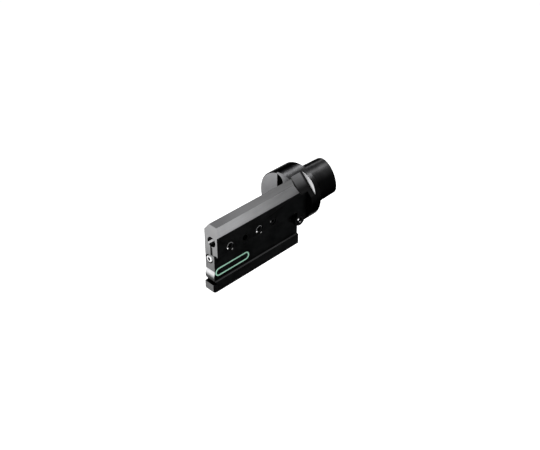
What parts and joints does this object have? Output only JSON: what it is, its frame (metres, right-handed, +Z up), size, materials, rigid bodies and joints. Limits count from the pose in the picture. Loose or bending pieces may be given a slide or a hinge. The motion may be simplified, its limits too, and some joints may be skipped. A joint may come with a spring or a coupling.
{
  "type": "parting blade adapter",
  "caption": "Thin side-mounted block with a clamping jaw and ledge for a parting-off blade, on a round collar and a tapered polygon shank.",
  "frame": {"origin": "on the shank's axis, in the plane of the collar's rear contact face", "axes": "+Y back along the shank, +X out of the side that carries the blade, +Z up"},
  "size_m": [0.05, 0.146, 0.0653],
  "materials": {
    "black_steel": "black oxide over fine ground and milled steel",
    "screw_steel": "dark satin alloy steel",
    "nozzle_steel": "bright turned stainless steel",
    "green_rubber": "moulded pale green seal rubber"
  },
  "bodies": {
    "root": {"adapter_body": "black_steel", "clamp_screw_front": "screw_steel", "clamp_screw_rear": "screw_steel", "jaw_set_screw": "screw_steel", "coolant_nozzle": "nozzle_steel", "seal_ring": "green_rubber", "channel_plug": "screw_steel", "drill_plug": "screw_steel"}
  },
  "joints": []
}
